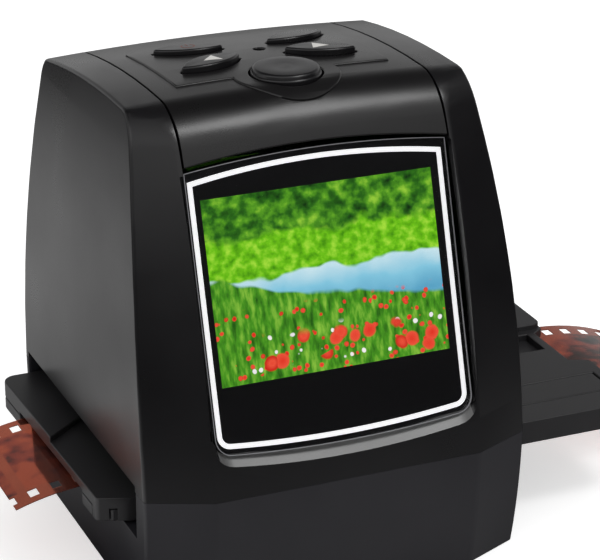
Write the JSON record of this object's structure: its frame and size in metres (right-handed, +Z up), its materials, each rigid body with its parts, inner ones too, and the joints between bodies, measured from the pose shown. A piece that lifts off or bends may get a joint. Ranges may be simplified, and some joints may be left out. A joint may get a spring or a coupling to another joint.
{
  "type": "film negative scanner",
  "caption": "Desktop film scanner: rounded black body with a tilted colour screen, keys on the top strip and a sliding film tray holding a film strip.",
  "frame": {"origin": "middle of the footprint, on the face it stands on", "axes": "+X to the right, along the tray's travel; the screen faces -Y; +Z up"},
  "size_m": [0.1644, 0.086, 0.1026],
  "materials": {
    "housing_plastic": "satin black, fine texture",
    "cover_plastic": "satin black, fine texture",
    "base_plastic": "satin black, fine texture",
    "window_clear": "clear, high gloss",
    "white_print": "white ink",
    "black_print": "black ink",
    "screen_picture": "lit colour picture",
    "inner_black": "moulded matt black",
    "key_plastic": "satin black",
    "light_lens": "dark smoked",
    "board_green": "solder mask",
    "switch_grey": "metal and black",
    "chip_dark": "ceramic and glass",
    "lens_clear": "coated optical glass",
    "inner_white": "opal white",
    "board_white": "white solder mask",
    "led_yellow": "phosphor",
    "spring_steel": "bright",
    "tray_plastic": "satin black",
    "film_base": "developed negative film, orange brown",
    "port_metal": "nickel plated",
    "ribbon_amber": "polyimide",
    "foot_rubber": "matt",
    "screw_steel": "zinc plated",
    "standoff_brass": "bright"
  },
  "bodies": {
    "housing": {"main_housing": "housing_plastic", "top_cover": "cover_plastic", "rear_panel": "housing_plastic", "base_housing": "base_plastic", "screen_window": "window_clear", "window_border": "white_print", "screen_mask": "black_print", "lcd_panel": "screen_picture", "lcd_frame": "inner_black", "status_light": "light_lens", "key_board": "board_green", "key_switches": "switch_grey", "main_board": "board_green", "sensor_board": "board_green", "sensor_chip": "chip_dark", "optics_tower": "inner_black", "tower_plate": "inner_black", "lens_barrel": "inner_black", "lens_glass": "lens_clear", "light_box": "inner_white", "light_diffuser": "inner_white", "light_board": "board_white", "backlight_leds": "led_yellow", "tray_guide": "inner_black", "detent_spring": "spring_steel", "usb_port": "port_metal", "card_slot": "port_metal", "video_jack": "inner_black", "lcd_ribbon_cable": "ribbon_amber", "rubber_feet": "foot_rubber", "housing_screws": "screw_steel", "guide_screws": "screw_steel", "board_screws": "screw_steel", "board_standoffs": "standoff_brass"},
    "tray": {"tray_base": "tray_plastic", "tray_cover": "tray_plastic", "tray_hinge_pins": "spring_steel", "film_strip": "film_base"},
    "scan_key": {"scan_button": "key_plastic"},
    "power_key": {"power_button": "key_plastic"},
    "ok_key": {"ok_button": "key_plastic"},
    "left_key": {"left_button": "key_plastic"},
    "right_key": {"right_button": "key_plastic"}
  },
  "joints": [
    {"name": "tray_slide", "type": "slide", "parent": "housing", "child": "tray", "axis": [1, 0, 0], "range_m": [-0.02, 0.1]},
    {"name": "scan_key_press", "type": "slide", "parent": "housing", "child": "scan_key", "axis": [0, 0, -1], "range_m": [0, 0.0008], "stiffness_N_per_m": 800},
    {"name": "power_key_press", "type": "slide", "parent": "housing", "child": "power_key", "axis": [0, 0, -1], "range_m": [0, 0.0008], "stiffness_N_per_m": 800},
    {"name": "ok_key_press", "type": "slide", "parent": "housing", "child": "ok_key", "axis": [0, 0, -1], "range_m": [0, 0.0008], "stiffness_N_per_m": 800},
    {"name": "left_key_press", "type": "slide", "parent": "housing", "child": "left_key", "axis": [0, 0, -1], "range_m": [0, 0.0008], "stiffness_N_per_m": 800},
    {"name": "right_key_press", "type": "slide", "parent": "housing", "child": "right_key", "axis": [0, 0, -1], "range_m": [0, 0.0008], "stiffness_N_per_m": 800}
  ]
}
